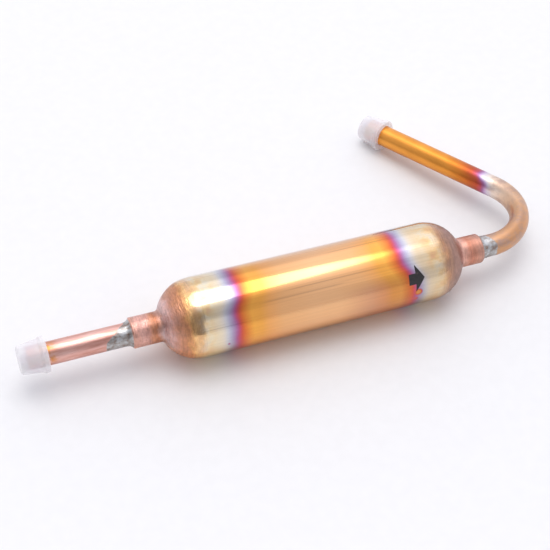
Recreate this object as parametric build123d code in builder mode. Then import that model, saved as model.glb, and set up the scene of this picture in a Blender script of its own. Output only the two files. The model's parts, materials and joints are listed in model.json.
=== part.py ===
from build123d import *
import os
from math import acos, asin, cos, degrees, hypot, radians, sin, sqrt, tan

# Spun-copper filter drier for a small refrigeration circuit, in millimetres.
# +X is the flow direction, from the inlet to the outlet, and +Z is up. The origin is on
# the axis of the copper body, half way along its straight part. The drier lies as it would
# on a bench: the body touches the floor along its lowest line, and the bent outlet tube
# is rolled down until the collar of its cap touches the floor too.

# ---- driving dimensions ----------------------------------------------------------------

# connecting tube, quarter inch outside
tube_od = 6.35
tube_wall = 0.80
tube_edge_break = 0.15

# copper body, one tube with both ends spun down to a neck
shell_od = 22.2
shell_wall = 1.0
straight_length = 66.8
shoulder_radius = 10.9
shoulder_gather = 0.4
neck_wall = 1.0
inlet_neck_length = 8.3
outlet_neck_length = 7.1
neck_root_fillet = 1.2
socket_depth = 6.6
flow_hole_od = 5.2
inlet_mouth_chamfer = 0.3
outlet_mouth_radius = 0.6
braze_clearance = 0.05

# tubes
inlet_reach = 27.7
outlet_lead = 3.7
bend_radius = 15.25
bend_angle = 121.4
bend_flattening = 0.3
bend_swelling = 0.2
bend_ease = 0.3
outlet_leg = 45.6

# silver brazing alloy
inlet_braze_run = 1.4
outlet_braze_run = 1.6
braze_feather = 0.08
braze_hollow = 0.2

# pull-off end cap
cap_engagement = 5.3
cap_clearance = 0.03
cap_collar_od = 9.8
cap_collar_length = 1.3
cap_collar_slope = 0.8
cap_collar_round = 0.4
cap_body_od = 9.0
cap_taper_angle = 7.0
cap_end_wall = 0.8
cap_end_gap = 1.5
cap_end_round = 0.6
cap_bore_taper = 0.5
cap_lead_in = 0.25

# what the body holds
ring_length = 3.0
ring_wall = 0.5
ring_lip = 1.5
bore_fit = 0.02
gauze_thickness = 0.4
gauze_pitch = 1.9
gauze_opening = 1.1
strainer_pitch = 2.3
strainer_opening = 1.3
strainer_rise = 4.5
pad_clearance = 0.05
outlet_pad_thickness = 3.0

# ---- sizes worked out from them --------------------------------------------------------

tube_r = tube_od / 2
tube_bore_r = tube_r - tube_wall
shell_r = shell_od / 2
shell_bore_r = shell_r - shell_wall
socket_r = tube_r + braze_clearance
neck_r = socket_r + neck_wall
flow_hole_r = flow_hole_od / 2

shoulder_x = straight_length / 2
shoulder_turn = acos(1 - (shell_r - neck_r) / shoulder_radius)
neck_root_x = shoulder_x + shoulder_radius * sin(shoulder_turn)
inlet_mouth_x = -neck_root_x - inlet_neck_length
outlet_mouth_x = neck_root_x + outlet_neck_length
inlet_socket_x = inlet_mouth_x + socket_depth
outlet_socket_x = outlet_mouth_x - socket_depth
inside_shoulder_radius = shoulder_radius - shell_wall - shoulder_gather
inside_turn = acos(1 - (shell_bore_r - flow_hole_r) / inside_shoulder_radius)
inside_end_x = shoulder_x + inside_shoulder_radius * sin(inside_turn)

inlet_end_x = inlet_mouth_x - inlet_reach
bend_start_x = outlet_mouth_x + outlet_lead
bend_turn = radians(bend_angle)
leg_start = Vector(
    bend_start_x + bend_radius * sin(bend_turn), bend_radius * (1 - cos(bend_turn))
)
leg_direction = Vector(cos(bend_turn), sin(bend_turn))
leg_end = leg_start + leg_direction * outlet_leg

# Roll of the bend plane about the body's axis. The lowest point of the outlet cap's collar
# is on its outer rim, collar_reach along the leg, and it has to lie at the floor's height.
collar_r = cap_collar_od / 2
collar_reach = outlet_leg - cap_engagement + cap_collar_length
collar_offset = leg_start.Y + leg_direction.Y * collar_reach
collar_share = hypot(collar_offset, collar_r * leg_direction.Y)
roll_sine = (
    collar_offset * shell_r
    - sqrt((collar_offset * shell_r) ** 2 - collar_share**2 * (shell_r**2 - collar_r**2))
) / collar_share**2
bend_plane = Plane.XY.rotated((-degrees(asin(roll_sine)), 0, 0))
leg_root = bend_plane.from_local_coords(leg_start)
leg_tip = bend_plane.from_local_coords(leg_end)
leg_axis = (leg_tip - leg_root).normalized()

os.makedirs("parts", exist_ok=True)


def finish(piece, label):
    """Names a finished piece and writes it as one STEP file."""
    piece.part.label = label
    export_step(piece.part, f"parts/{label}.step")


# ---- body ------------------------------------------------------------------------------

# The outline of half the body, turned about the axis. Each shoulder is one arc that leaves
# the straight wall tangentially and runs down to the neck.
with BuildPart() as spun_shell:
    with BuildSketch(Plane.XZ) as outside:
        with BuildLine():
            Polyline(
                (-neck_root_x, neck_r),
                (inlet_mouth_x, neck_r),
                (inlet_mouth_x, 0),
                (outlet_mouth_x, 0),
                (outlet_mouth_x, neck_r),
                (neck_root_x, neck_r),
            )
            CenterArc(
                (shoulder_x, shell_r - shoulder_radius),
                shoulder_radius,
                90 - degrees(shoulder_turn),
                degrees(shoulder_turn),
            )
            Line((-shoulder_x, shell_r), (shoulder_x, shell_r))
            CenterArc(
                (-shoulder_x, shell_r - shoulder_radius),
                shoulder_radius,
                90,
                degrees(shoulder_turn),
            )
        make_face()
        for side in (-1, 1):
            root = outside.vertices().sort_by_distance((side * neck_root_x, neck_r))[0]
            fillet(root, neck_root_fillet)
        inlet_rim = outside.vertices().sort_by_distance((inlet_mouth_x, neck_r))[0]
        chamfer(inlet_rim, inlet_mouth_chamfer)
        outlet_rim = outside.vertices().sort_by_distance((outlet_mouth_x, neck_r))[0]
        fillet(outlet_rim, outlet_mouth_radius)
    revolve(axis=Axis.X)
    # the inside: the flow hole and the bore, with thicker metal gathered at each neck
    with BuildSketch(Plane.XZ) as inside:
        with BuildLine():
            Polyline(
                (-inside_end_x, flow_hole_r),
                (-inside_end_x, 0),
                (inside_end_x, 0),
                (inside_end_x, flow_hole_r),
            )
            CenterArc(
                (shoulder_x, shell_bore_r - inside_shoulder_radius),
                inside_shoulder_radius,
                90 - degrees(inside_turn),
                degrees(inside_turn),
            )
            Line((-shoulder_x, shell_bore_r), (shoulder_x, shell_bore_r))
            CenterArc(
                (-shoulder_x, shell_bore_r - inside_shoulder_radius),
                inside_shoulder_radius,
                90,
                degrees(inside_turn),
            )
        make_face()
    revolve(axis=Axis.X, mode=Mode.SUBTRACT)
    # flow hole through both necks, then the socket that each tube is pushed into
    with BuildSketch(Plane.YZ.offset(inlet_mouth_x)):
        Circle(flow_hole_r)
    extrude(amount=outlet_mouth_x - inlet_mouth_x, mode=Mode.SUBTRACT)
    for socket_x, depth in ((inlet_socket_x, -socket_depth), (outlet_socket_x, socket_depth)):
        with BuildSketch(Plane.YZ.offset(socket_x)):
            Circle(socket_r)
        extrude(amount=depth, mode=Mode.SUBTRACT)
finish(spun_shell, "spun_shell")

# ---- tubes -----------------------------------------------------------------------------

with BuildPart() as inlet_tube:
    with BuildSketch(Plane.YZ.offset(inlet_end_x)):
        Circle(tube_r)
        Circle(tube_bore_r, mode=Mode.SUBTRACT)
    extrude(amount=inlet_socket_x - inlet_end_x)
    open_end = inlet_tube.faces().sort_by(Axis.X)[0]
    chamfer(open_end.outer_wire().edges(), tube_edge_break)
finish(inlet_tube, "inlet_tube")

# One tube: a straight lead out of the neck, the bend, and the leg that runs back. Bending
# has made the section oval: narrower in the plane of the bend, and taller across it. The
# oval grows over the first share, bend_ease, of the bend and dies out over the last.
with BuildPart() as outlet_tube:
    with BuildSketch(Plane.YZ.offset(outlet_socket_x)):
        Circle(tube_r)
        Circle(tube_bore_r, mode=Mode.SUBTRACT)
    extrude(amount=bend_start_x - outlet_socket_x)
    with BuildSketch(Plane(leg_root, x_dir=bend_plane.z_dir, z_dir=leg_axis)):
        Circle(tube_r)
        Circle(tube_bore_r, mode=Mode.SUBTRACT)
    extrude(amount=outlet_leg)
    for wall_r, how in ((tube_r, Mode.ADD), (tube_bore_r, Mode.SUBTRACT)):
        with BuildLine(bend_plane) as bend:
            CenterArc((bend_start_x, bend_radius), bend_radius, -90, bend_angle)
        for share, oval in ((0, 0), (bend_ease, 1), (1 - bend_ease, 1), (1, 0)):
            here = Plane(bend.line @ share, x_dir=bend_plane.z_dir, z_dir=bend.line % share)
            with BuildSketch(here):
                Ellipse(wall_r + oval * bend_swelling, wall_r - oval * bend_flattening)
        sweep(multisection=True, mode=how)
    open_end = outlet_tube.faces().sort_by_distance(leg_tip)[0]
    chamfer(open_end.outer_wire().edges(), tube_edge_break)
finish(outlet_tube, "outlet_tube")

# ---- brazed joints ---------------------------------------------------------------------


def braze_ring(plane, rim_r, run):
    """A fillet of alloy round the tube, from the neck's face (plane, facing out).

    Its face is hollow by a share, braze_hollow, of its height on the neck.
    """
    with BuildPart() as ring:
        with BuildSketch(Plane(plane.origin, x_dir=plane.z_dir, z_dir=plane.y_dir)):
            with BuildLine():
                Polyline(
                    (run, tube_r + braze_feather),
                    (run, tube_r),
                    (0, tube_r),
                    (0, rim_r),
                )
                bow = (rim_r - tube_r) * braze_hollow
                ThreePointArc(
                    (0, rim_r),
                    (run / 2 - bow, (rim_r + tube_r + braze_feather) / 2 - bow),
                    (run, tube_r + braze_feather),
                )
            make_face()
        revolve(axis=Axis(plane.origin, plane.z_dir))
    return ring


inlet_face = Plane((inlet_mouth_x, 0, 0), x_dir=(0, 1, 0), z_dir=(-1, 0, 0))
outlet_face = Plane((outlet_mouth_x, 0, 0), x_dir=(0, 1, 0), z_dir=(1, 0, 0))
inlet_braze = braze_ring(inlet_face, neck_r - inlet_mouth_chamfer, inlet_braze_run)
finish(inlet_braze, "inlet_braze")
outlet_braze = braze_ring(outlet_face, neck_r - outlet_mouth_radius, outlet_braze_run)
finish(outlet_braze, "outlet_braze")

# ---- end caps --------------------------------------------------------------------------


def end_cap(plane):
    """A moulded cap. The plane is at its open face, on the tube's axis, facing the end."""
    bore_r = tube_r + cap_clearance
    body_r = cap_body_od / 2
    body_x = cap_collar_length + cap_collar_slope
    length = cap_engagement + cap_end_gap + cap_end_wall
    end_r = body_r - (length - body_x) * tan(radians(cap_taper_angle))
    chamber_r = bore_r - cap_bore_taper
    with BuildPart() as cap:
        with BuildSketch(Plane(plane.origin, x_dir=plane.z_dir, z_dir=plane.y_dir)) as wall:
            with BuildLine():
                Polyline(
                    (0, bore_r + cap_lead_in),
                    (0, collar_r),
                    (cap_collar_length, collar_r),
                    (body_x, body_r),
                    (length, end_r),
                    (length, 0),
                    (length - cap_end_wall, 0),
                    (length - cap_end_wall, chamber_r),
                    (cap_engagement, bore_r),
                    (cap_lead_in, bore_r),
                    (0, bore_r + cap_lead_in),
                )
            make_face()
            for corner in ((0, collar_r), (cap_collar_length, collar_r), (body_x, body_r)):
                fillet(wall.vertices().sort_by_distance(corner)[0], cap_collar_round)
            fillet(wall.vertices().sort_by_distance((length, end_r))[0], cap_end_round)
        revolve(axis=Axis(plane.origin, plane.z_dir))
    return cap


inlet_seat = Plane((inlet_end_x + cap_engagement, 0, 0), x_dir=(0, 1, 0), z_dir=(-1, 0, 0))
outlet_seat = Plane(
    leg_tip - leg_axis * cap_engagement, x_dir=bend_plane.z_dir, z_dir=leg_axis
)
inlet_cap = end_cap(inlet_seat)
finish(inlet_cap, "inlet_cap")
outlet_cap = end_cap(outlet_seat)
finish(outlet_cap, "outlet_cap")

# ---- what the body holds, from the inlet to the outlet -----------------------------------

# Each screen is clamped in a pressed ring that sits where its shoulder begins, with the
# ring's lip outwards. Felt and the bead bed fill the length between the two screens.
ring_r = shell_bore_r - bore_fit
held_r = ring_r - ring_wall - pad_clearance
lip_r = ring_r - ring_wall - ring_lip
screen_x = shoulder_x - ring_wall
pad_x = screen_x - gauze_thickness
ring_end_x = shoulder_x - ring_length


def screen_ring(side):
    """A pressed ring with a lip, on the inlet side (-1) or the outlet side (1)."""
    with BuildPart() as ring:
        with BuildSketch(Plane.YZ.offset(side * ring_end_x)):
            Circle(ring_r)
            Circle(ring_r - ring_wall, mode=Mode.SUBTRACT)
        extrude(amount=side * ring_length)
        with BuildSketch(Plane.YZ.offset(side * screen_x)):
            Circle(ring_r)
            Circle(lip_r, mode=Mode.SUBTRACT)
        extrude(amount=side * ring_wall)
    return ring


def mesh_places(pitch, opening, reach):
    """Centres of the square openings of a gauze that lie wholly inside a circle."""
    count = int(reach / pitch)
    steps = [i * pitch for i in range(-count, count + 1)]
    limit = reach - opening * sqrt(2) / 2
    return [(y, z) for y in steps for z in steps if hypot(y, z) < limit]


inlet_screen_ring = screen_ring(-1)
finish(inlet_screen_ring, "inlet_screen_ring")

with BuildPart() as inlet_screen:
    with BuildSketch(Plane.YZ.offset(-screen_x)):
        Circle(held_r)
        with Locations(*mesh_places(gauze_pitch, gauze_opening, lip_r)):
            Rectangle(gauze_opening, gauze_opening, mode=Mode.SUBTRACT)
    extrude(amount=gauze_thickness)
finish(inlet_screen, "inlet_screen")

with BuildPart() as inlet_pad:
    with BuildSketch(Plane.YZ.offset(-pad_x)):
        Circle(held_r)
    extrude(amount=pad_x - ring_end_x)
finish(inlet_pad, "inlet_pad")

with BuildPart() as desiccant_beads:
    with BuildSketch(Plane.YZ.offset(-ring_end_x)):
        Circle(shell_bore_r - bore_fit)
    extrude(amount=2 * ring_end_x - outlet_pad_thickness)
finish(desiccant_beads, "desiccant_beads")

with BuildPart() as outlet_pad:
    with BuildSketch(Plane.YZ.offset(ring_end_x - outlet_pad_thickness)):
        Circle(shell_bore_r - pad_clearance)
    extrude(amount=outlet_pad_thickness)
finish(outlet_pad, "outlet_pad")

outlet_screen_ring = screen_ring(1)
finish(outlet_screen_ring, "outlet_screen_ring")

# The outlet strainer is a gauze cup: a flat rim behind the ring's lip, and a dome that
# stands through the ring towards the outlet.
dome_r = lip_r - pad_clearance
dome_turn = 2 * asin(strainer_rise / hypot(strainer_rise, dome_r))
crown_x = pad_x + gauze_thickness + strainer_rise
with BuildPart() as outlet_strainer:
    with BuildSketch(Plane.XZ) as section:
        with BuildLine():
            outer = ThreePointArc(
                (screen_x, dome_r),
                (
                    crown_x - (dome_r / sin(dome_turn)) * (1 - cos(dome_turn / 2)),
                    (dome_r / sin(dome_turn)) * sin(dome_turn / 2),
                ),
                (crown_x, 0),
            )
            Line((crown_x, 0), (crown_x - gauze_thickness, 0))
            ThreePointArc(
                (crown_x - gauze_thickness, 0),
                outer @ 0.5 - Vector(gauze_thickness, 0),
                (pad_x, dome_r),
            )
            Polyline(
                (pad_x, dome_r),
                (pad_x, held_r),
                (screen_x, held_r),
                (screen_x, dome_r),
            )
        make_face()
    revolve(axis=Axis.X)
    with BuildSketch(Plane.YZ.offset(pad_x)):
        with Locations(*mesh_places(strainer_pitch, strainer_opening, dome_r)):
            Rectangle(strainer_opening, strainer_opening)
    extrude(amount=crown_x, mode=Mode.SUBTRACT)
finish(outlet_strainer, "outlet_strainer")

pieces = len([name for name in os.listdir("parts") if name.endswith(".step")])
print(f"{pieces} pieces, necks end at x = {inlet_mouth_x:.2f} and {outlet_mouth_x:.2f}")
print(f"bend plane rolled by {degrees(asin(roll_sine)):.2f} degrees")
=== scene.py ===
# %% [markdown]
# # A spun-copper filter drier
#
# A filter drier keeps the water and dirt out of a small refrigeration circuit. This one is
# a piece of copper tube whose two ends were spun down to necks. A straight inlet tube and
# a bent outlet tube are brazed into the necks, and each open end wears a plastic cap.
#
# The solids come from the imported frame, already at their real size and in their real
# place. All that is left to make here is what the eye sees of them: the copper and the
# colours that the brazing flame left on it, the alloy, the plastic and the printed arrow.

# %% Load the frame
import json
from math import cos, pi, radians, sin

import bmesh
import bpy
from mathutils import Matrix, Vector


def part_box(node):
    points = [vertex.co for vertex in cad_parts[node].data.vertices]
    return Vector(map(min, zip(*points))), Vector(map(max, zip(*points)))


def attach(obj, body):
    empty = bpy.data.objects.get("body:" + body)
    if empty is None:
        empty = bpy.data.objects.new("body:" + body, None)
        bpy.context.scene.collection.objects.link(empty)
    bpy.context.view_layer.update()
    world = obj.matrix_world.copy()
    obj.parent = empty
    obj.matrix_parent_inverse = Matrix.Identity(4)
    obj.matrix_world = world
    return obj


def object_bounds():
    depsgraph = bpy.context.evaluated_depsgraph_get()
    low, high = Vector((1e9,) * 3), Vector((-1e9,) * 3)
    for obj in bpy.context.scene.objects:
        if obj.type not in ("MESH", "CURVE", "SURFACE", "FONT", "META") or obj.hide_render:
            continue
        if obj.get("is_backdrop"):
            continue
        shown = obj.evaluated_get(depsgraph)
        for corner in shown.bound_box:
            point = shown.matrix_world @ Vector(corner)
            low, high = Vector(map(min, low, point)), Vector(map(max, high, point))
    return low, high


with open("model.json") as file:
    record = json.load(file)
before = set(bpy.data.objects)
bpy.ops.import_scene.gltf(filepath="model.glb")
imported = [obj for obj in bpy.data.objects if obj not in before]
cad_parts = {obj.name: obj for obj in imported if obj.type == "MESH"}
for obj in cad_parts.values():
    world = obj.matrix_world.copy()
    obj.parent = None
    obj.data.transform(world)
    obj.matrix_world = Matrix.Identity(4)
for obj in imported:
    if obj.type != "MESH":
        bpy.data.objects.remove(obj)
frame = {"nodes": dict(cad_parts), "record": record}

cad_box = [list(corner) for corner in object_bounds()]
parts = frame["nodes"]
mounts = {mount["name"]: mount for mount in frame["record"]["mounts"]}
print("pieces:", ", ".join(sorted(parts)))

# %% [markdown]
# # Units, colours and nodes
#
# Blender works in metres and in linear light, while a designer thinks in millimetres and
# picks colours as sRGB hex. Two small functions turn one into the other, so that every
# number below can be read as a real size or a real colour. A third one adds a shader node
# with its settings and its links, which keeps each material down to a list of steps, and
# the last two start a material and give it to the solids.

# %% Helpers
MM = 0.001


def linear(hex_colour):
    """Linear RGBA for an sRGB hex colour such as "#e9bd8e"."""
    channels = [int(hex_colour[i:i + 2], 16) / 255 for i in (1, 3, 5)]
    return [c / 12.92 if c <= 0.04045 else ((c + 0.055) / 1.055) ** 2.4 for c in channels] + [1]


def add(tree, kind, inputs=(), stops=(), **settings):
    """Adds a node. Inputs are values, nodes or outputs, in order or by name."""
    node = tree.nodes.new(f"ShaderNode{kind}")
    for name, value in settings.items():
        setattr(node, name, value)
    ports = [port for port in node.inputs if port.enabled]
    named = {port.name: port for port in reversed(ports)}
    pairs = inputs.items() if isinstance(inputs, dict) else enumerate(inputs)
    for key, value in pairs:
        port = named[key] if isinstance(key, str) else ports[key]
        if isinstance(value, bpy.types.Node):
            value = next(output for output in value.outputs if output.enabled)
        if isinstance(value, bpy.types.NodeSocket):
            tree.links.new(value, port)
        else:
            port.default_value = value
    for number, (place, hex_colour) in enumerate(stops):
        elements = node.color_ramp.elements
        stop = elements[number] if number < 2 else elements.new(place)
        stop.position = place
        stop.color = linear(hex_colour)
    return node


def new_material(name, **values):
    """A material of that name, with its tree and its Principled shader."""
    material = bpy.data.materials.new(name)
    material.use_nodes = True
    shader = material.node_tree.nodes["Principled BSDF"]
    for socket, value in values.items():
        shader.inputs[socket.replace("_", " ")].default_value = value
    return material, material.node_tree, shader


def feed(tree, shader, **sources):
    """Links the first output of each node to the shader's socket of that name."""
    for socket, node in sources.items():
        output = next(port for port in node.outputs if port.enabled)
        tree.links.new(output, shader.inputs[socket.replace("_", " ")])


def dress(material, *names):
    """Gives the material to the CAD nodes of those names."""
    for name in names:
        slots = parts[name].data.materials
        slots.clear()
        slots.append(material)
    print(material.name, "on", ", ".join(names))


# %% [markdown]
# # The camera
#
# Proportions only look right from the right distance, so the camera stands where a
# product's portrait is taken from, some 37 cm off with a long lens, and looks down at the
# bench. A camera can be aimed with a constraint or with angles. Here its three axes are
# built from yaw, elevation and roll, because the slight roll is then one plain number.

# %% Camera
CAMERA_PLACE = Vector((-104.81, -220.93, 279.23)) * MM
CAMERA_YAW = radians(22.9)
CAMERA_ELEVATION = radians(48.35)
CAMERA_ROLL = radians(4.0)
CAMERA_LENS = 88.4
FILM_WIDTH = 36.0
NEAREST_SEEN = 0.01

ahead = Vector((
    sin(CAMERA_YAW) * cos(CAMERA_ELEVATION),
    cos(CAMERA_YAW) * cos(CAMERA_ELEVATION),
    -sin(CAMERA_ELEVATION),
))
level = Vector((cos(CAMERA_YAW), -sin(CAMERA_YAW), 0))
upright = level.cross(ahead)
right = cos(CAMERA_ROLL) * level + sin(CAMERA_ROLL) * upright
up = cos(CAMERA_ROLL) * upright - sin(CAMERA_ROLL) * level
turned = Matrix((right, up, -ahead)).transposed().to_4x4()

camera_data = bpy.data.cameras.new("camera")
camera_data.lens = CAMERA_LENS
camera_data.sensor_width = FILM_WIDTH
camera_data.clip_start = NEAREST_SEEN
camera = bpy.data.objects.new("camera", camera_data)
camera.matrix_world = Matrix.Translation(CAMERA_PLACE) @ turned
bpy.context.scene.collection.objects.link(camera)
bpy.context.scene.camera = camera
bpy.context.scene.view_settings.view_transform = "Standard"
print(f"camera {CAMERA_PLACE.length:.3f} m from the drier's middle")

# %% [markdown]
# # The floor
#
# A pale sheet of card lies under the drier and runs far beyond it on all sides. It is
# matt, so it takes a soft shadow and the warm glow that the copper throws on it. Real
# card is never one flat grey: a faint mottle, a few millimetres across, keeps it from
# looking computed.

# %% Floor
FLOOR_HALF_WIDTH = 3.0
FLOOR_MOTTLE = 3.0
CARD_ROUGHNESS = 0.55
CARD_COLOURS = ((0.3, "#ededed"), (0.7, "#efefef"))

floor_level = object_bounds()[0].z
quarters = ((-1, -1), (1, -1), (1, 1), (-1, 1))
corners = [(x * FLOOR_HALF_WIDTH, y * FLOOR_HALF_WIDTH, floor_level) for x, y in quarters]
floor_mesh = bpy.data.meshes.new("floor")
floor_mesh.from_pydata(corners, [], [(0, 1, 2, 3)])
floor = bpy.data.objects.new("floor", floor_mesh)
bpy.context.scene.collection.objects.link(floor)
floor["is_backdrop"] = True

card, tree, shader = new_material("pale_card", Roughness=CARD_ROUGHNESS)
place = add(tree, "TexCoord").outputs["Object"]
blots = {"Vector": place, "Scale": 1 / (FLOOR_MOTTLE * MM), "Detail": 2}
mottle = add(tree, "TexNoise", blots)
shade = add(tree, "ValToRGB", [mottle], stops=CARD_COLOURS)
feed(tree, shader, Base_Color=shade)
floor_mesh.materials.append(card)
print(f"floor at {floor_level / MM:.2f} mm")

# %% [markdown]
# # The light
#
# Polished metal shows the room more than it shows itself. The room here is a pale studio
# with one round softbox overhead, a little behind the drier: it gives the long bright band
# on the copper and the soft shadow in front. The softbox is a lamp, because lamps give
# clean shadows, and the rest of the room is the world's colour: a glow round the softbox,
# a brighter wall behind and to the right, and the dark shape of whoever stands at the
# camera, which puts the brown band under the bright one.

# %% Softbox
SOFTBOX_PLACE = Vector((0.03, 0.24, 1.2))
SOFTBOX_SIZE = (0.86, 1.0)
SOFTBOX_POWER = 4.55
SOFTBOX_WARMTH = (1.0, 0.985, 0.95)

lamp = bpy.data.lights.new("softbox", "AREA")
lamp.shape = "ELLIPSE"
lamp.size, lamp.size_y = SOFTBOX_SIZE
lamp.energy = SOFTBOX_POWER
lamp.color = SOFTBOX_WARMTH
softbox = bpy.data.objects.new("softbox", lamp)
softbox.location = SOFTBOX_PLACE
bpy.context.scene.collection.objects.link(softbox)
print(f"softbox {SOFTBOX_SIZE[0]} x {SOFTBOX_SIZE[1]} m, {SOFTBOX_PLACE.z} m up")

# %% [markdown]
# # The room's directions
#
# The world's shader gets the direction of each ray. Three numbers made from it are easy to
# think with: how far to the right it points, its angle from straight up towards the
# camera's side, and how near it points to the softbox. The room could be a painted picture,
# but soft fades in these numbers need no file and have no pixels.

# %% Directions in the room
GLOW_TOWARD = Vector((0.05, 0.44, 1.2))


def fade(tree, value, start, end, low=0.0, high=1.0):
    """Goes smoothly from low to high as the value goes from start to end."""
    inputs = {"Value": value, "From Min": start, "From Max": end, "To Min": low, "To Max": high}
    return add(tree, "MapRange", inputs, interpolation_type="SMOOTHSTEP")


world = bpy.data.worlds.new("studio")
bpy.context.scene.world = world
world.use_nodes = True
tree = world.node_tree
direction = add(tree, "TexCoord").outputs["Generated"]
axes = add(tree, "SeparateXYZ", [direction])
to_right = axes.outputs["X"]
toward_camera = add(tree, "Math", [axes.outputs["Y"], -1.0], operation="MULTIPLY")
tipped = add(tree, "Math", [toward_camera, axes.outputs["Z"]], operation="ARCTAN2")
near_lamp = add(tree, "VectorMath", [direction, GLOW_TOWARD.normalized()], operation="DOT_PRODUCT")
print("world:", world.name)

# %% [markdown]
# # Dark and bright shapes in the room
#
# Whoever stands at the camera is a dark shape on the near side. It ends to the right, where
# the room is open, and it begins some way down from overhead, so its top edge is a soft
# one. Below it the bench is pale again on the right. The wall behind and the room's right
# side are a little brighter than the rest. Angles are in degrees, and the places of the
# side edges are shares of the way to the right.

# %% Dark and bright shapes
DARK_SHARE = 0.58
DARK_RIGHT_EDGE = (0.27, 0.17)
DARK_TOP = (8, 42)
DARK_FOOT = (58, 48)
LOW_DARK_EDGE = (0.14, 0.02)
WALL_BEHIND = 0.2
WALL_RIM = (-40, -60)
BRIGHT_RIGHT = 0.30
BRIGHT_RIGHT_EDGE = (0.24, 0.36)

dark_side = fade(tree, to_right, *DARK_RIGHT_EDGE)
dark_top = fade(tree, tipped, *map(radians, DARK_TOP))
dark_foot = fade(tree, tipped, *map(radians, DARK_FOOT))
low_dark = fade(tree, to_right, *LOW_DARK_EDGE)
dark_below = add(tree, "Math", [dark_foot, low_dark], operation="MAXIMUM")
dark_tall = add(tree, "Math", [dark_top, dark_below], operation="MULTIPLY")
dark = add(tree, "Math", [dark_tall, dark_side], operation="MULTIPLY")

behind = fade(tree, tipped, *map(radians, WALL_RIM), 0.0, WALL_BEHIND)
bright_side = fade(tree, to_right, *BRIGHT_RIGHT_EDGE, 0.0, BRIGHT_RIGHT)
above_foot = add(tree, "Math", [bright_side, dark_foot], operation="MULTIPLY")
brighter = add(tree, "Math", [behind, above_foot], operation="ADD")
shapes = add(tree, "Math", [dark, -DARK_SHARE, brighter], operation="MULTIPLY_ADD")
print(f"room {100 * DARK_SHARE:.0f}% darker on the camera's side")

# %% [markdown]
# # The room's level
#
# A softbox lights its own surroundings, so a soft glow lies round it and the bright band on
# the copper has no hard rim. The level is set last: low enough that the pale card stays
# just short of white, and that each colour looks about as it is written.

# %% Glow and level
ROOM_COLOUR = "#e9e9f1"
ROOM_LEVEL = 0.89
GLOW = 0.55
GLOW_RIM = (45, 31)

shaped_room = add(tree, "Math", [shapes, 1.0], operation="ADD")
glow = fade(tree, near_lamp, *[cos(radians(angle)) for angle in GLOW_RIM], 0.0, GLOW)
glowing_room = add(tree, "Math", [shaped_room, glow], operation="ADD")
strength = add(tree, "Math", [glowing_room, ROOM_LEVEL], operation="MULTIPLY")
background = tree.nodes["Background"]
background.inputs["Color"].default_value = linear(ROOM_COLOUR)
feed(tree, background, Strength=strength)
print(f"room {ROOM_COLOUR} at {ROOM_LEVEL}")

# %% [markdown]
# # Places on the drier
#
# The finish changes along the drier, so the shaders need to know where they are. A CAD
# mesh keeps its place in its vertices, so its object coordinates are places in the frame,
# and they travel with a cap when it is pulled. Three measures do all the work: millimetres
# along the body, millimetres along the bent tube's leg, and which way the surface faces.

# %% Measures
shell_radius = mounts["shell_clamp"]["dims"]["r_mm"]
tube_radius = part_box("inlet_tube")[1].z / MM
inlet_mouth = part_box("spun_shell")[0].x / MM
outlet_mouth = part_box("spun_shell")[1].x / MM
leg_axis = Vector(mounts["outlet_bore"]["axis"])
leg_length = mounts["outlet_bore"]["dims"]["length_mm"]
leg_root = Vector(mounts["outlet_bore"]["pos_m"]) / MM - leg_axis * leg_length / 2


def millimetres(tree):
    """The place on the drier, in millimetres."""
    place = add(tree, "TexCoord").outputs["Object"]
    return add(tree, "VectorMath", [place, (1 / MM,) * 3], operation="MULTIPLY")


def toward(degrees):
    """The direction across the drier's axis at that angle from +Z toward -Y."""
    return Vector((0, -sin(radians(degrees)), cos(radians(degrees))))


def facing(tree, place, degrees, radius):
    """1 where a tube's side faces that way round the drier's axis, -1 where it faces away."""
    return add(tree, "VectorMath", [place, toward(degrees) / radius], operation="DOT_PRODUCT")


print(f"body radius {shell_radius} mm, necks end at {inlet_mouth:.2f} and {outlet_mouth:.2f} mm")

# %% [markdown]
# # Unevenness
#
# Nothing that a flame or a hand has done is even. All the blots, lines and ragged edges
# below are one noise, given the width of its features in millimetres and how much longer
# they are one way. The same noise also moves a value to and fro, which makes the edge of a
# colour wander.

# %% Speckles and wandering edges
def speckle(tree, place, width, detail=2.0, stretch=(1, 1, 1), roughness=0.5):
    """Noise whose features are about that many millimetres wide, drawn out by the stretch."""
    scales = [1 / (width * longer) for longer in stretch]
    scaled = add(tree, "VectorMath", [place, scales], operation="MULTIPLY")
    inputs = {"Vector": scaled, "Scale": 1.0, "Detail": detail, "Roughness": roughness}
    return add(tree, "TexNoise", inputs)


def wandering(tree, value, place, width, amount, detail=2.0):
    """The value, moved to and fro by that amount in blots of that width."""
    blots = speckle(tree, place, width, detail)
    centred = add(tree, "Math", [blots, -0.5], operation="ADD")
    return add(tree, "Math", [centred, amount, value], operation="MULTIPLY_ADD")


print("helpers: speckle, wandering")

# %% [markdown]
# # Temper colours on the body
#
# A flame at each neck heats the body from its ends. Copper that warms in air grows a skin
# of oxide thinner than light's wavelength, and the skin's thickness picks the colour:
# bronze where it was coolest, then orange, magenta and violet, and a silvery blue-white
# where it was hottest. The colours follow each other in a fixed order, so one colour ramp
# read along the distance past the flame's front draws both ends.

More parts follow.
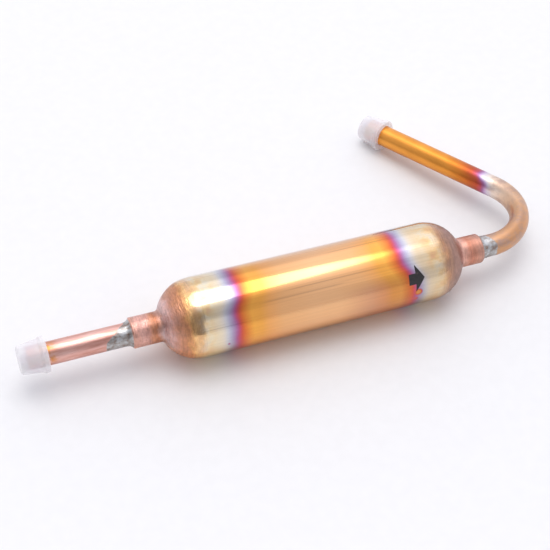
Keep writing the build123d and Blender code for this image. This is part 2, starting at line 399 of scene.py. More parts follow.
# %% Temper colours
TEMPER_COLOURS = (
    (-22.0, "#eeb57e"),
    (-13.0, "#ecaf72"),
    (-9.5, "#efa85d"),
    (-7.0, "#efa540"),
    (-4.6, "#f2a83d"),
    (-3.2, "#e88f2d"),
    (-2.0, "#dc6e20"),
    (-1.2, "#cf5033"),
    (-0.6, "#c3485b"),
    (0.0, "#b15583"),
    (0.5, "#a8709c"),
    (1.1, "#a88fb1"),
    (1.9, "#b4afc4"),
    (2.8, "#cccace"),
    (3.6, "#dfd4c5"),
    (4.4, "#e7d8bc"),
    (6.2, "#ecd9b5"),
)


def ramp(tree, value, colours):
    """A colour ramp whose stops are places along the value, in its own unit."""
    start = colours[0][0]
    end = colours[-1][0]
    share = add(tree, "MapRange", {"Value": value, "From Min": start, "From Max": end})
    stops = [((place - start) / (end - start), colour) for place, colour in colours]
    return add(tree, "ValToRGB", [share], stops=stops)


print(len(TEMPER_COLOURS), "temper colours")

# %% [markdown]
# # The heat front
#
# The front isn't a plain ring. Each end was heated more from one side, so its front lies
# further out where the body faces down, and it wanders a little. The front's place could
# be drawn as a curve; here each end has one place for the upper side and a drop towards
# the lower side, which is all that a hand-held flame leaves.

# %% Heat front
LEFT_FRONT = -23.5
LEFT_FRONT_DROP = 1.9
LEFT_DROP_FACING = (0.03, 0.47)
RIGHT_FRONT = 23.2
RIGHT_FRONT_DROP = 3.0
RIGHT_DROP_FACING = (0.17, 0.77)
LOW_SIDE = 110
FRONT_BLOT = 5.5
FRONT_WANDER = 1.3


def past_front(tree, place, axial):
    """Millimetres past the nearer heat front, towards the neck."""
    low_side = facing(tree, place, LOW_SIDE, shell_radius)
    left_end = LEFT_FRONT - LEFT_FRONT_DROP
    right_end = RIGHT_FRONT + RIGHT_FRONT_DROP
    left = fade(tree, low_side, *LEFT_DROP_FACING, LEFT_FRONT, left_end)
    right = fade(tree, low_side, *RIGHT_DROP_FACING, RIGHT_FRONT, right_end)
    past_left = add(tree, "Math", [left, axial], operation="SUBTRACT")
    past_right = add(tree, "Math", [axial, right], operation="SUBTRACT")
    past = add(tree, "Math", [past_left, past_right], operation="MAXIMUM")
    return wandering(tree, past, place, FRONT_BLOT, FRONT_WANDER)


print(f"heat fronts at {LEFT_FRONT} and {RIGHT_FRONT} mm")

# %% [markdown]
# # Cool spots
#
# Where a drop of flux lay on the copper it stayed cooler, so the oxide there is thinner
# than round about: an orange drop with a magenta rim and a speck beside it lie just past
# the right-hand front, and a magenta speck past the left-hand one. A spot can simply pull
# the distance past the front back, and the same ramp then colours it and its rim in the
# right order. Each spot has its place along the body, the angle that it faces, the radius
# of its middle and of its rim, and how far it pulls, all in millimetres and degrees.

# %% Cool spots
COOL_SPOTS = (
    (27.0, 83, 0.3, 1.35, 5.5),
    (-27.9, 92, 0.0, 0.6, 3.4),
    (26.4, 96, 0.0, 1.0, 1.6),
)


def cooled(tree, place, past):
    """The distance past the front, pulled back in each cool spot."""
    for axial, degrees, middle, rim, depth in COOL_SPOTS:
        centre = Vector((axial, 0, 0)) + toward(degrees) * shell_radius
        away = add(tree, "VectorMath", [place, centre], operation="DISTANCE")
        pull = fade(tree, away, rim, middle, 0.0, -depth)
        past = add(tree, "Math", [past, pull], operation="ADD")
    return past


print(len(COOL_SPOTS), "cool spots")

# %% [markdown]
# # Colours of the spun ends
#
# Past the bright ring the skin is patchy: straw with pale rose and blue stains. Where the
# spinning tool closed the tube down the copper is rough, so it has gone matt and brown,
# and the flux has left it greyish near the neck. The neck was brushed clean after brazing,
# but for a burnt ring. These bands follow the distance from the body's middle, with a
# ramp for each end, because the two ends were heated by hand and never match.

# %% Spun ends
LEFT_END_COLOURS = (
    (33.0, "#eabe8c"),
    (35.0, "#daa571"),
    (36.4, "#e7b77c"),
    (37.3, "#daa26a"),
    (38.3, "#c78b64"),
    (39.8, "#c78d6f"),
    (41.3, "#cc9987"),
    (42.3, "#d8b0a7"),
    (43.2, "#ceafab"),
    (43.9, "#c49889"),
    (45.3, "#b97a5a"),
    (46.3, "#c98c6e"),
    (47.4, "#d39d8e"),
    (49.2, "#ddab9e"),
    (51.8, "#d7a18e"),
)
RIGHT_END_COLOURS = (
    (33.0, "#e7cca4"),
    (34.6, "#d8ae7d"),
    (36.0, "#bf906d"),
    (37.4, "#b28e7b"),
    (39.0, "#a8887e"),
    (41.0, "#b08a7e"),
    (42.5, "#c59b91"),
    (43.8, "#d5aba0"),
    (45.0, "#dea99a"),
    (46.6, "#d3927c"),
    (48.6, "#cc9886"),
    (50.6, "#c99f93"),
)
END_BLOT = 2.6
END_WANDER = 3.4


def end_colour(tree, place, axial, reach):
    """The colour of the shoulders and necks."""
    moved = wandering(tree, reach, place, END_BLOT, END_WANDER, detail=4)
    left = ramp(tree, moved, LEFT_END_COLOURS)
    right = ramp(tree, moved, RIGHT_END_COLOURS)
    is_right = fade(tree, axial, -1.0, 1.0)
    return add(tree, "Mix", {"Factor": is_right, "A": left, "B": right}, data_type="RGBA")


print(len(LEFT_END_COLOURS), "bands on the inlet end,", len(RIGHT_END_COLOURS), "on the outlet end")

# %% [markdown]
# # Marks of the tools
#
# The tube was drawn through a die, which leaves fine lines along it, and its ends were
# spun, which leaves lines round them, coarse on the shoulder and fine on the neck. Both
# come from one noise, stretched along or squeezed across the axis. True draw lines are
# hundredths of a millimetre apart, too fine to show, so they are drawn a few tenths apart.

# %% Draw lines and spin lines
DRAW_LINE_PITCH = 0.45
SPIN_LINE_PITCH = 0.32


def draw_lines(tree, place):
    """Lines along the axis."""
    return speckle(tree, place, DRAW_LINE_PITCH, stretch=(160, 1, 1))


def spin_lines(tree, place, pitch=SPIN_LINE_PITCH):
    """Lines round the axis, each a good part of a turn long."""
    return speckle(tree, place, pitch, detail=3, stretch=(1, 16, 16))


print(f"draw lines {DRAW_LINE_PITCH} mm apart, spin lines {SPIN_LINE_PITCH} mm apart")

# %% [markdown]
# Scratches of the die, and two painted reflections
#
# A few scratches that the die left are long enough to be placed one by one. Two lines in
# the table, at -11.5 and 32 degrees, are not scratches but painted reflections of dark
# edges in the room, drawn as darker copper. Each has the angle that it faces, the middle of
# its length, half its length and half its width. A line is a product of three fades: across
# it, along it, and on its own side of the tube, because a plane through the axis meets the
# tube twice.

# %% Scratches and painted reflections
# The lines at -11.5 and 32 degrees are painted reflections of dark edges, not scratches.
SCRATCHES_AND_REFLECTED_LINES = (
    (-11.5, 12.5, 10.5, 0.30),
    (32, 3.0, 17.0, 0.26),
    (41, -6.0, 15.0, 0.42),
    (61, -29, 8.0, 0.22),
)


def scratches_and_reflected_lines(tree, place, axial):
    """1 in each of the die's scratches and painted reflected lines, 0 beside them."""
    found = None
    for degrees, middle, half_length, half_width in SCRATCHES_AND_REFLECTED_LINES:
        beside = facing(tree, place, degrees + 90, 1.0)
        off_line = add(tree, "Math", [beside], operation="ABSOLUTE")
        across = fade(tree, off_line, half_width, 0.0)
        outside = facing(tree, place, degrees, shell_radius)
        this_side = fade(tree, outside, 0.0, 0.5)
        past_middle = add(tree, "Math", [axial, -middle], operation="ADD")
        from_middle = add(tree, "Math", [past_middle], operation="ABSOLUTE")
        along = fade(tree, from_middle, half_length, half_length * 0.5)
        stripe = add(tree, "Math", [across, this_side], operation="MULTIPLY")
        line = add(tree, "Math", [stripe, along], operation="MULTIPLY")
        found = line if found is None else add(tree, "Math", [found, line], operation="MAXIMUM")
    return found


print(len(SCRATCHES_AND_REFLECTED_LINES), "scratches_and_reflected_lines")

# %% [markdown]
# # Material: drawn and spun copper
#
# All of it comes together in one metal. It could be one plain copper under a painted mask,
# but the colours are the oxide's own, so they go into the metal's Base Color. First come
# the temper colours, the straw stains past the bright ring, and the bands of the ends.

# %% Drawn and spun copper
EDGE_TINT = "#e0e4e8"
STAIN_COLOURS = ((0.32, "#d9dbd0"), (0.44, "#eaddbd"), (0.56, "#ecc889"), (0.70, "#e2ab7a"))
STAIN_WIDTH = 3.4
STAINS_BEGIN = (4.0, 10.0)
STAIN_SHARE = 0.85
SPUN_FROM = (32.0, 36.8)

copper, tree, shader = new_material("drawn_and_spun_copper", Metallic=1.0, Coat_Roughness=0.12)
shader.inputs["Specular Tint"].default_value = linear(EDGE_TINT)
place = millimetres(tree)
axial = add(tree, "SeparateXYZ", [place]).outputs["X"]
reach = add(tree, "Math", [axial], operation="ABSOLUTE")
past = cooled(tree, place, past_front(tree, place, axial))

tempered = ramp(tree, past, TEMPER_COLOURS)
blots = speckle(tree, place, STAIN_WIDTH, detail=4)
stains = add(tree, "ValToRGB", [blots], stops=STAIN_COLOURS)
stained = fade(tree, past, *STAINS_BEGIN, 0.0, STAIN_SHARE)
skin = add(tree, "Mix", {"Factor": stained, "A": tempered, "B": stains}, data_type="RGBA")
at_end = fade(tree, reach, *SPUN_FROM)
ends = end_colour(tree, place, axial, reach)
bands = add(tree, "Mix", {"Factor": at_end, "A": skin, "B": ends}, data_type="RGBA")
print(copper.name, "has its bands of colour")

# %% [markdown]
# Sides that the flame and smoke reached, and a painted reflection
#
# Three places have a second tint over those colours. Smoke has dulled the outlet end, and a
# flank by the outlet got hotter and leans to red and violet. The underside is tinted warmer
# and redder as a painted reflection of the warm, copper-lit floor beneath the body. A tint
# multiplies what is under it, as a thin film does.

# %% Smoked outlet end, painted reflection underneath, hotter flank
OUTLET_TINT = (0.86, 0.80, 0.74)
OUTLET_TINT_FROM = (24.5, 29.0)
# The underside tint is a painted reflection of the warm floor, not a colour of the copper.
UNDERSIDE_PAINTED_REFLECTION_TINT = (1.25, 1.08, 0.74)
UNDERSIDE_FACING = (-0.05, 0.45)
FLANK_TINT = (0.76, 0.68, 0.88)
FLANK_ANGLE = 85
FLANK_FACING = (0.76, 0.95)
FLANK_FROM = (2.0, 17.0)
FLANK_SHORT_OF_FRONT = (-0.5, -3.0)


def tinted(tree, colour, share, tint):
    """The colour, with a film of the tint over it where the share is 1."""
    filmed = add(tree, "VectorMath", [colour, tint], operation="MULTIPLY")
    return add(tree, "Mix", {"Factor": share, "A": colour, "B": filmed}, data_type="RGBA")


outlet_end = fade(tree, axial, *OUTLET_TINT_FROM)
smoked = tinted(tree, bands, outlet_end, OUTLET_TINT)
# Painted reflection: the underside is tinted warmer and redder, standing in for the floor it
# mirrors.
beneath = fade(tree, facing(tree, place, 180, shell_radius), *UNDERSIDE_FACING)
painted_underside_reflection = tinted(tree, smoked, beneath, UNDERSIDE_PAINTED_REFLECTION_TINT)
on_flank = fade(tree, facing(tree, place, FLANK_ANGLE, shell_radius), *FLANK_FACING)
by_outlet = fade(tree, axial, *FLANK_FROM)
before_front = fade(tree, past, *FLANK_SHORT_OF_FRONT)
flank = add(tree, "Math", [on_flank, by_outlet], operation="MULTIPLY")
flank = add(tree, "Math", [flank, before_front], operation="MULTIPLY")
oxide = tinted(tree, painted_underside_reflection, flank, FLANK_TINT)
print(copper.name, "has its smoked, browned and hotter sides")

# %% [markdown]
# # Tool marks in the copper's colour
#
# Lines that are too fine to catch the light one by one still make the metal lighter and
# darker. The draw lines and scratches do so along the body, and the same darker lines paint
# two reflections of dark room edges there. On the ends the spin lines and a mottle take
# over, and they are far stronger, because the spun copper is torn and dirty.

# %% Shade of the marks
STREAK_SHADE = (0.91, 1.16)
SCRATCH_AND_REFLECTION_SHADE = 0.80
SPUN_SHADE = (0.78, 1.36)
SPUN_MOTTLE = 1.1

lines = draw_lines(tree, place)
low, high = STREAK_SHADE
streaks = add(tree, "MapRange", {"Value": lines, "To Min": low, "To Max": high})
# Two of these darker lines are painted reflections of dark room edges, not scratches.
marks = fade(tree, scratches_and_reflected_lines(tree, place, axial), 0.0, 1.0, 1.0, SCRATCH_AND_REFLECTION_SHADE)
body_shade = add(tree, "Math", [streaks, marks], operation="MULTIPLY")
turned_lines = spin_lines(tree, place)
rings = add(tree, "MapRange", {"Value": turned_lines, "From Min": 0.3, "From Max": 0.7})
mottle = speckle(tree, place, SPUN_MOTTLE, detail=5, stretch=(1, 1.6, 1.6), roughness=0.65)
mottle = add(tree, "MapRange", {"Value": mottle, "From Min": 0.36, "From Max": 0.64})
ringed = add(tree, "Math", [rings, mottle], operation="ADD")
low, high = SPUN_SHADE
uneven = add(tree, "MapRange", {"Value": ringed, "From Max": 2.0, "To Min": low, "To Max": high})
end_shade = add(tree, "Mix", {"Factor": at_end, "A": 1.0, "B": uneven})
shade = add(tree, "Math", [body_shade, end_shade], operation="MULTIPLY")
colour = add(tree, "VectorMath", [oxide, shade], operation="MULTIPLY")
feed(tree, shader, Base_Color=colour)
print(copper.name, "has its colours")

# %% [markdown]
# # The copper's roughness and coat
#
# The body is the smoothest part, where the room is mirrored in long bands; the shoulders
# are rough in patches. The oxide is a clear skin over the metal, so it is a coat: it adds
# a pale reflection that grows towards the edges. The coat is thin on the rough shoulders
# and on the underside.

# %% Roughness and coat
BODY_ROUGHNESS = 0.13
SHOULDER_ROUGHNESS = 0.38
BODY_COAT = 0.95
SHOULDER_COAT = 0.2
UNDERSIDE_COAT = 0.3
SHOULDER_FROM = (35.5, 38.5)

on_shoulder = fade(tree, reach, *SHOULDER_FROM)
patches = speckle(tree, place, 2.0, detail=4)
patchy = fade(tree, patches, 0.35, 0.65, -0.05, 0.07)
base_roughness = fade(tree, on_shoulder, 0.0, 1.0, BODY_ROUGHNESS, SHOULDER_ROUGHNESS)
shoulder_patchy = add(tree, "Math", [patchy, on_shoulder], operation="MULTIPLY")
rough = add(tree, "Math", [base_roughness, shoulder_patchy], operation="ADD")

side_coat = fade(tree, beneath, 0.0, 1.0, BODY_COAT, UNDERSIDE_COAT)
thinner = SHOULDER_COAT - BODY_COAT
end_coat = add(tree, "Math", [on_shoulder, thinner, side_coat], operation="MULTIPLY_ADD")
coat = add(tree, "Math", [end_coat, UNDERSIDE_COAT], operation="MAXIMUM")
feed(tree, shader, Roughness=rough, Coat_Weight=coat)
print(copper.name, "has its roughness and coat")

# %% [markdown]
# # The copper's relief
#
# The draw lines are hundredths of a millimetre deep and the spin lines a little deeper. On
# the inlet end the wall also gathered into wrinkles as it was closed down. Each bump takes
# the one before as its Normal, so they add up. Their depths are in millimetres.

# %% Relief
DRAWN_DEPTH = 0.02
SPUN_DEPTH = 0.07
WRINKLE_DEPTH = 0.45
WRINKLE_WIDTH = 0.7
SPUN_RELIEF_FROM = (35.0, 39.0)
WRINKLES_FROM = (-35.5, -38.5)


def relief(tree, height, depth, strength, **under):
    """A bump of that depth in millimetres, over the bump given as Normal."""
    inputs = {"Strength": strength, "Distance": depth * MM, "Height": height}
    return add(tree, "Bump", inputs | under)


drawn = relief(tree, lines, DRAWN_DEPTH, 0.10)
on_end = fade(tree, reach, *SPUN_RELIEF_FROM, 0.0, 0.9)
spun = relief(tree, turned_lines, SPUN_DEPTH, on_end, Normal=drawn)
gathered_here = fade(tree, axial, *WRINKLES_FROM)
gathers = speckle(tree, place, WRINKLE_WIDTH, detail=4, stretch=(1, 5, 5), roughness=0.6)
wrinkled = relief(tree, gathers, WRINKLE_DEPTH, gathered_here, Normal=spun)
feed(tree, shader, Normal=wrinkled)
dress(copper, "spun_shell")

# %% [markdown]
# # Silver alloy
#
# The brazing alloy is silver grey, and it cooled with pits that have gone brown. The
# joints and the tubes share this look, so it is a pair of functions: one for the colour and
# one for the lumps of metal that has run and set.

# %% Silver alloy
ALLOY_COLOURS = ((0.32, "#937c71"), (0.43, "#a09892"), (0.56, "#bbbab9"), (0.72, "#d3d5d7"))
ALLOY_ROUGHNESS = 0.33
ALLOY_GRAIN = 1.1
ALLOY_LUMP = 0.7


def alloy_colour(tree, place):
    """Silver grey with brown pits."""
    grain = speckle(tree, place, ALLOY_GRAIN, detail=5, stretch=(1.4, 1, 1), roughness=0.6)
    return add(tree, "ValToRGB", [grain], stops=ALLOY_COLOURS)


def alloy_lumps(tree, place):
    """The lumps of alloy that has run and set."""
    return speckle(tree, place, ALLOY_LUMP, detail=4)


print(len(ALLOY_COLOURS), "colours of the alloy")

# %% [markdown]
# # Tongues of alloy on the tubes
#
# The alloy wets hot copper and runs along it, so a thin silver tongue lies on each tube
# beyond the joint. It is far too thin to be a piece of its own, and its edge is a crisp,
# ragged line, so it is a mask in the tube's material: 1 where the metal has reached.

# %% Tongues of alloy
TONGUE_EDGE = 0.12
TONGUE_DEPTH = 0.12


def alloy_reach(tree, place, tongue, from_mouth, blot, raggedness):
    """1 within that tongue's length of the neck's mouth, 0 beyond its ragged edge."""
    edge = wandering(tree, tongue, place, blot, raggedness, detail=4)
    inside = add(tree, "Math", [edge, from_mouth], operation="SUBTRACT")
    return fade(tree, inside, -TONGUE_EDGE, TONGUE_EDGE)


def silver_over(tree, shader, place, silvered, tint, tube_roughness, **under):
    """Finishes a tube of that tint, with alloy over it where silvered is 1."""
    pair = {"Factor": silvered, "A": tint, "B": alloy_colour(tree, place)}
    colour = add(tree, "Mix", pair, data_type="RGBA")
    rough = fade(tree, silvered, 0.0, 1.0, tube_roughness, ALLOY_ROUGHNESS)
    lumps = relief(tree, alloy_lumps(tree, place), TONGUE_DEPTH, silvered, **under)
    feed(tree, shader, Base_Color=colour, Roughness=rough, Normal=lumps)


print("helpers: alloy_reach, silver_over")

# %% [markdown]
# # Material: pink copper of the inlet tube
#
# The flame has burnt the drawing oil off this tube, and the flux has cleaned it to the raw
# pink of annealed copper, with rosy and brown streaks along it. A burnt, yellow-brown spot
# lies by the cap on the upper side; it is another colour over the streaks, and its edge is
# broken up by blots.

# %% Pink copper
PINK_COLOURS = ((0.30, "#be8274"), (0.43, "#d9a092"), (0.55, "#e7b4a8"), (0.72, "#f4ccc2"))
PINK_STREAK = 1.6
PINK_ROUGHNESS = 0.34
BURNT_COLOUR = "#da914e"
BURNT_FROM = (-71.0, -74.2)
BURNT_ANGLE = 35
BURNT_BLOT = 1.5

pink, tree, shader = new_material("annealed_pink_copper", Metallic=1.0)
place = millimetres(tree)
axial = add(tree, "SeparateXYZ", [place]).outputs["X"]
streaky = speckle(tree, place, PINK_STREAK, detail=5, stretch=(7, 1, 1), roughness=0.6)
clean = add(tree, "ValToRGB", [streaky], stops=PINK_COLOURS)

near_cap = fade(tree, axial, *BURNT_FROM)
upper_side = fade(tree, facing(tree, place, BURNT_ANGLE, tube_radius), 0.2, 0.8)
burnt_here = add(tree, "Math", [near_cap, upper_side], operation="MULTIPLY")
blots = fade(tree, speckle(tree, place, BURNT_BLOT, detail=3), 0.38, 0.58, 0.2, 1.0)
burnt = add(tree, "Math", [burnt_here, blots], operation="MULTIPLY")
pair = {"Factor": burnt, "A": clean, "B": linear(BURNT_COLOUR)}
copper_tint = add(tree, "Mix", pair, data_type="RGBA")
print(pink.name, "has its tint")

# %% [markdown]
# # The inlet tube's tongue
#
# The silver tongue lies on the low side and comes to a point there. Its length beyond the
# neck's mouth is short on top, longer at the side and longest at the tip, so it is the sum
# of two fades in the way that the surface faces.

# %% Inlet tongue
INLET_TONGUE_TOP = 1.4
INLET_TONGUE_SIDE = 3.6
INLET_TONGUE_TIP = 7.4
INLET_TONGUE_ANGLE = 97
INLET_TONGUE_BLOT = 1.8
INLET_TONGUE_RAGGED = 1.6

low_side = facing(tree, place, INLET_TONGUE_ANGLE, tube_radius)
side = fade(tree, low_side, -0.6, 0.1, INLET_TONGUE_TOP, INLET_TONGUE_SIDE)
tip = fade(tree, low_side, 0.0, 1.0, 0.0, INLET_TONGUE_TIP - INLET_TONGUE_SIDE)
tongue = add(tree, "Math", [side, tip], operation="ADD")
from_mouth = add(tree, "Math", [axial, -1.0, inlet_mouth], operation="MULTIPLY_ADD")
ragged = (INLET_TONGUE_BLOT, INLET_TONGUE_RAGGED)
silvered = alloy_reach(tree, place, tongue, from_mouth, *ragged)
drawn = relief(tree, draw_lines(tree, place), DRAWN_DEPTH, 0.25)
silver_over(tree, shader, place, silvered, copper_tint, PINK_ROUGHNESS, Normal=drawn)
dress(pink, "inlet_tube")

# %% [markdown]
# # Material: tempered copper of the outlet tube
#
# This tube shows the whole run of temper colours in one sweep. It is brown-pink and dull
# by the joint, pale on the bend, then the violet and red front, and clean gold towards the
# cap. Distance along a bent tube has no ready coordinate, but the front lies on the
# straight leg, so the distance along the leg's axis is enough, and the bend is coloured by
# how far it has come round. The front lies nearer the bend on the leg's inner side.

# %% Distance past the leg's front
LEG_FRONT_TOP = 5.4
LEG_FRONT_SIDE = 2.4
LEG_FRONT_FACING = (0.35, 0.95)
LEG_FRONT_BLOT = 2.5
LEG_FRONT_WANDER = 1.6

golden, tree, shader = new_material("tempered_golden_copper", Metallic=1.0)
place = millimetres(tree)
from_root = add(tree, "VectorMath", [place, leg_root], operation="SUBTRACT")
along = add(tree, "VectorMath", [from_root, leg_axis], operation="DOT_PRODUCT")
inner_side = leg_axis.cross(Vector((0, 0, 1))).normalized()
side = add(tree, "VectorMath", [from_root, -inner_side / tube_radius], operation="DOT_PRODUCT")
front = fade(tree, side, *LEG_FRONT_FACING, LEG_FRONT_TOP, LEG_FRONT_SIDE)
straight_past = add(tree, "Math", [along, front], operation="SUBTRACT")
past = wandering(tree, straight_past, place, LEG_FRONT_BLOT, LEG_FRONT_WANDER, detail=3)
print(f"leg {leg_length} mm long, its front at {LEG_FRONT_TOP} mm")

# %% [markdown]
# # Colours of the bent tube
#
# The ramp holds the colours in the order that the heat gave. Streaks along the tube make
# them uneven, and a grey film of flux and smoke, in torn patches, lies over the bend.

# %% Golden copper, its film and streaks
LEG_COLOURS = (
    (-20.0, "#d39d72"),
    (-12.0, "#d8ae8a"),
    (-6.5, "#e7cab1"),
    (-3.4, "#efe0d3"),
    (-2.0, "#ded5e1"),
    (-1.0, "#c3a4ca"),
    (-0.2, "#a8709c"),
    (0.7, "#bc5965"),
    (2.0, "#bf5840"),
    (4.8, "#c86a34"),
    (8.5, "#db8637"),
    (12.5, "#ea9b42"),
    (34.0, "#efa34a"),
)
LEG_STREAK = 1.5
LEG_SHADE = (0.88, 1.08)
BEND_FILM = "#b2978d"
BEND_FILM_SHARE = 0.7
FILM_PATCH = 2.4
FILM_FROM = (-1.0, -5.0)

tempered = ramp(tree, past, LEG_COLOURS)
streaky = speckle(tree, place, LEG_STREAK, detail=5, stretch=(4, 4, 1), roughness=0.6)
low, high = LEG_SHADE
streaks = {"Value": streaky, "From Min": 0.3, "From Max": 0.7, "To Min": low, "To Max": high}
shade = add(tree, "MapRange", streaks)
streaked = add(tree, "VectorMath", [tempered, shade], operation="MULTIPLY")
patches = speckle(tree, place, FILM_PATCH, detail=6, stretch=(2, 2, 1), roughness=0.7)
film = fade(tree, patches, 0.42, 0.66, 0.0, BEND_FILM_SHARE)
on_bend = fade(tree, past, *FILM_FROM)
filmed = add(tree, "Math", [film, on_bend], operation="MULTIPLY")
pair = {"Factor": filmed, "A": streaked, "B": linear(BEND_FILM)}
tint = add(tree, "Mix", pair, data_type="RGBA")
print(golden.name, "has its tint")

# %% [markdown]
# # The outlet tube's tongue
#
# Here the tongue is a short collar, longer on the low side. The leg runs back beside the
# joint, at the same distance along the body, so a fade in the distance across keeps the
# silver off it.

# %% Outlet tongue
OUTLET_TONGUE_TOP = 2.6
OUTLET_TONGUE_SIDE = 4.4
OUTLET_TONGUE_ANGLE = 80
OUTLET_TONGUE_BLOT = 1.6
OUTLET_TONGUE_RAGGED = 1.5
GOLDEN_ROUGHNESS = 0.33
JOINT_SIDE = (9.0, 8.0)

axes = add(tree, "SeparateXYZ", [place])
low_side = facing(tree, place, OUTLET_TONGUE_ANGLE, tube_radius)
tongue = fade(tree, low_side, -0.2, 0.8, OUTLET_TONGUE_TOP, OUTLET_TONGUE_SIDE)
from_mouth = add(tree, "Math", [axes.outputs["X"], -outlet_mouth], operation="ADD")
ragged = (OUTLET_TONGUE_BLOT, OUTLET_TONGUE_RAGGED)
reached = alloy_reach(tree, place, tongue, from_mouth, *ragged)
by_joint = fade(tree, axes.outputs["Y"], *JOINT_SIDE)
silvered = add(tree, "Math", [reached, by_joint], operation="MULTIPLY")
silver_over(tree, shader, place, silvered, tint, GOLDEN_ROUGHNESS)
dress(golden, "outlet_tube")

# %% [markdown]
# # Material: silver brazing alloy
#
# The fillet at each neck is the same alloy, thicker, with the lumps left as it set. Its
# form is in the solid, so the material only adds the colour, the pits and the lumps.

# %% Silver brazing alloy
FILLET_LUMP_DEPTH = 0.15

alloy, tree, shader = new_material("silver_brazing_alloy", Metallic=1.0, Roughness=ALLOY_ROUGHNESS)
place = millimetres(tree)
lumps = relief(tree, alloy_lumps(tree, place), FILLET_LUMP_DEPTH, 0.9)
feed(tree, shader, Base_Color=alloy_colour(tree, place), Normal=lumps)
dress(alloy, "inlet_braze", "outlet_braze")

# %% [markdown]
# # Material: milky polyethylene
#
# The caps are soft polyethylene, thin enough to let the copper show through as a pink
# shadow. Frosted glass would be one way, but light gets lost in it and the cap turns grey.
# Thin milky plastic sends most light straight back, so it is a pale matt plastic that is
# partly see-through: each wall hides about half of what is behind it.

# %% Milky polyethylene
CAP_OPACITY = (0.45, 0.52)
CAP_TINTS = ((0.3, "#fbf6fd"), (0.7, "#fdfdfd"))
CAP_CLOUD = 4.0
CAP_SKIN_GRAIN = 0.8
CAP_SKIN_DEPTH = 0.04

milky, tree, shader = new_material("milky_polyethylene", Roughness=0.3, IOR=1.51)
place = millimetres(tree)
cloud = speckle(tree, place, CAP_CLOUD, detail=1)
tint = add(tree, "ValToRGB", [cloud], stops=CAP_TINTS)
low, high = CAP_OPACITY
wall = {"Value": cloud, "From Min": 0.3, "From Max": 0.7, "To Min": low, "To Max": high}
opacity = add(tree, "MapRange", wall)
fine_skin = speckle(tree, place, CAP_SKIN_GRAIN, detail=2)
skin = relief(tree, fine_skin, CAP_SKIN_DEPTH, 0.15)
feed(tree, shader, Base_Color=tint, Alpha=opacity, Normal=skin)
dress(milky, "inlet_cap", "outlet_cap")

# %% [markdown]
# # The flow arrow
#
# A drier works one way round only, so its body carries an arrow that points with the flow.
# The ink lies on the copper with a thickness of hundredths of a millimetre. It could be a
# mask in the copper's material, but a thin mesh keeps its corners sharp at any distance.
# Its outline is drawn flat first, in millimetres along the body and across it.

# %% Outline of the arrow
ARROW_TAIL = 24.1
ARROW_NECK = 26.15
ARROW_TIP = 28.7
ARROW_SHAFT_HALF_WIDTH = 1.6
ARROW_HEAD_HALF_WIDTH = 4.05

outline = (
    (ARROW_TAIL, -ARROW_SHAFT_HALF_WIDTH),
    (ARROW_NECK, -ARROW_SHAFT_HALF_WIDTH),
    (ARROW_NECK, -ARROW_HEAD_HALF_WIDTH),
    (ARROW_TIP, 0),
    (ARROW_NECK, ARROW_HEAD_HALF_WIDTH),
    (ARROW_NECK, ARROW_SHAFT_HALF_WIDTH),
    (ARROW_TAIL, ARROW_SHAFT_HALF_WIDTH),
)
flat = bmesh.new()
flat.faces.new([flat.verts.new((x, y, 0)) for x, y in outline])
print(f"arrow {ARROW_TIP - ARROW_TAIL:.1f} mm long")

# %% [markdown]
# # Wrapping the arrow
#
# A flat face can't bend, so the outline is cut into narrow strips along the body first.
# Each corner is then carried round the body by its distance across, and lifted by the
# thickness of the ink. A shrinkwrap would do it too, but this needs no modifier.

# %% Flow arrow
ARROW_ANGLE = 60.2
INK_LIFT = 0.02
STRIP_WIDTH = 0.31

cuts = int(ARROW_HEAD_HALF_WIDTH / STRIP_WIDTH)
for number in range(-cuts, cuts + 1):
    everything = flat.verts[:] + flat.edges[:] + flat.faces[:]
    cut_at = Vector((0, number * STRIP_WIDTH, 0))
    bmesh.ops.bisect_plane(flat, geom=everything, plane_co=cut_at, plane_no=(0, 1, 0))
for vertex in flat.verts:
    degrees = ARROW_ANGLE - vertex.co.y / radians(shell_radius)
    wrapped = Vector((vertex.co.x, 0, 0)) + toward(degrees) * (shell_radius + INK_LIFT)
    vertex.co = wrapped * MM
bmesh.ops.recalc_face_normals(flat, faces=flat.faces[:])
for face in flat.faces:
    face.smooth = True
arrow_mesh = bpy.data.meshes.new("flow_arrow")
flat.to_mesh(arrow_mesh)
flat.free()
arrow = bpy.data.objects.new("flow_arrow", arrow_mesh)
bpy.context.scene.collection.objects.link(arrow)
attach(arrow, "drier")
print("flow_arrow:", len(arrow_mesh.polygons), "faces")

# %% [markdown]
# # Material: black marking ink
#
# The ink is stamped or rolled on, so it is a black that isn't quite even: where the film
# is thin, a little of the brown copper shows through. It is duller than the metal.

# %% Marking ink
INK_COLOURS = ((0.35, "#1d1a1c"), (0.62, "#2a2527"), (0.75, "#4a3a34"))
INK_SPOT = 0.5

ink, tree, shader = new_material("black_marking_ink", Roughness=0.42)
thin_spots = speckle(tree, millimetres(tree), INK_SPOT, detail=4)
tint = add(tree, "ValToRGB", [thin_spots], stops=INK_COLOURS)
feed(tree, shader, Base_Color=tint)
arrow_mesh.materials.append(ink)
print(ink.name)

# %% [markdown]
# # Material: zinc-plated steel of the rings
#
# The body is closed for good, so what is inside never shows, but the model can be opened
# and each piece has a real finish. The rings are zinc-plated pressings, grey with a
# cloudy bloom, and their forming lines run round them as spin lines do.

# %% Zinc-plated steel
ZINC_COLOURS = ((0.3, "#9c9d9e"), (0.6, "#b9bab9"), (0.75, "#c6c4ba"))
ZINC_BLOOM = 2.5
FORMING_PITCH = 0.25
FORMING_DEPTH = 0.03

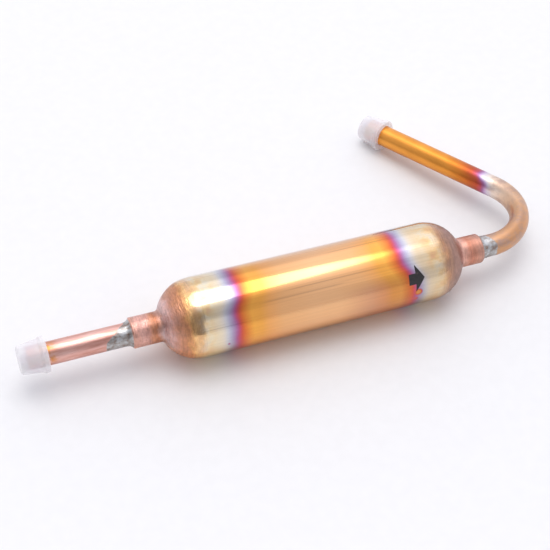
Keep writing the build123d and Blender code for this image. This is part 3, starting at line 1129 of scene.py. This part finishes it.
steel, tree, shader = new_material("zinc_plated_steel", Metallic=1.0, Roughness=0.38)
place = millimetres(tree)
bloom = speckle(tree, place, ZINC_BLOOM, detail=4)
tint = add(tree, "ValToRGB", [bloom], stops=ZINC_COLOURS)
formed = relief(tree, spin_lines(tree, place, FORMING_PITCH), FORMING_DEPTH, 0.4)
feed(tree, shader, Base_Color=tint, Normal=formed)
dress(steel, "inlet_screen_ring", "outlet_screen_ring")

# %% [markdown]
# # Material: woven wire gauze
#
# Gauze this fine could be thousands of modelled wires, but a weave in the material is
# enough for a piece that is shut in: two sets of waves across each other, one wave to a
# wire, give both a painted shade, darker where the wires dip, and the relief.

# %% Woven wire gauze
WIRE_TONE_AND_PAINTED_SHADE = ((0.0, "#6f6a62"), (0.5, "#a8a49b"), (1.0, "#c9c6bd"))
WIRE_PITCH = 0.35
WIRE_DEPTH = 0.08

gauze, tree, shader = new_material("woven_wire_gauze", Metallic=1.0, Roughness=0.42)
place = millimetres(tree)
axes = add(tree, "SeparateXYZ", [place])
waves = []
for axis in ("Y", "Z"):
    turns = add(tree, "Math", [axes.outputs[axis], 2 * pi / WIRE_PITCH], operation="MULTIPLY")
    waves.append(add(tree, "Math", [turns], operation="SINE"))
weave = add(tree, "Math", waves, operation="MULTIPLY")
# The dark end of this ramp is painted shade where the wires dip.
tint = add(tree, "ValToRGB", [weave], stops=WIRE_TONE_AND_PAINTED_SHADE)
crossed = relief(tree, weave, WIRE_DEPTH, 0.8)
feed(tree, shader, Base_Color=tint, Normal=crossed)
dress(gauze, "inlet_screen", "outlet_strainer")

# %% [markdown]
# # Material: pressed wool felt
#
# The pads are pressed wool: short fibres in all directions, so they are a fine noise drawn
# out a little, with a soft sheen. Hair strands would be truer and far too heavy.

# %% Pressed wool felt
WOOL_COLOURS = ((0.3, "#cfc9b8"), (0.55, "#e2ddce"), (0.7, "#efebe0"))
FIBRE_WIDTH = 0.25
FIBRE_DEPTH = 0.25

wool, tree, shader = new_material("pressed_wool_felt", Roughness=0.95, Sheen_Weight=0.4)
place = millimetres(tree)
fibres = speckle(tree, place, FIBRE_WIDTH, detail=6, stretch=(1, 2.5, 1), roughness=0.7)
tint = add(tree, "ValToRGB", [fibres], stops=WOOL_COLOURS)
napped = relief(tree, fibres, FIBRE_DEPTH, 0.8)
feed(tree, shader, Base_Color=tint, Normal=napped)
dress(wool, "inlet_pad", "outlet_pad")

# %% [markdown]
# # Material: molecular sieve beads
#
# The bed is clay-bound molecular sieve in beads of about 2 mm. The bed is one solid, so
# each bead is a cell of a Voronoi texture, which gives it its own tone, a round top and a
# painted shade in the gap beside it.

# %% Molecular sieve beads
BEAD_COLOURS = ((0.0, "#b7a286"), (0.5, "#cbb89b"), (1.0, "#dccdb4"))
BEAD_DIAMETER = 2.0
BEAD_RELIEF = 0.9

beads, tree, shader = new_material("molecular_sieve_beads", Roughness=0.85)
place = millimetres(tree)
cells = add(tree, "TexVoronoi", {"Vector": place, "Scale": 1 / BEAD_DIAMETER})
own_shade = add(tree, "SeparateColor", [cells.outputs["Color"]])
tint = add(tree, "ValToRGB", [own_shade], stops=BEAD_COLOURS)
# Darker towards each cell's rim: painted shade in the gaps between beads.
painted_gap_shade = fade(tree, cells.outputs["Distance"], 0.62, 0.36, 0.25, 1.0)
shaded = add(tree, "VectorMath", [tint, painted_gap_shade], operation="MULTIPLY")
rounded = fade(tree, cells.outputs["Distance"], 0.6, 0.0)
packed = relief(tree, rounded, BEAD_RELIEF, 1.0)
feed(tree, shader, Base_Color=shaded, Normal=packed)
dress(beads, "desiccant_beads")

# %% [markdown]
# # Size and finish
#
# The box of what the eye sees is printed beside the CAD's box.

# %% Size and finish
visual_box = [list(corner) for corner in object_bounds()]
for name, box in (("cad", cad_box), ("visual", visual_box)):
    print(name, "box, mm:", [[round(value / MM, 2) for value in corner] for corner in box])
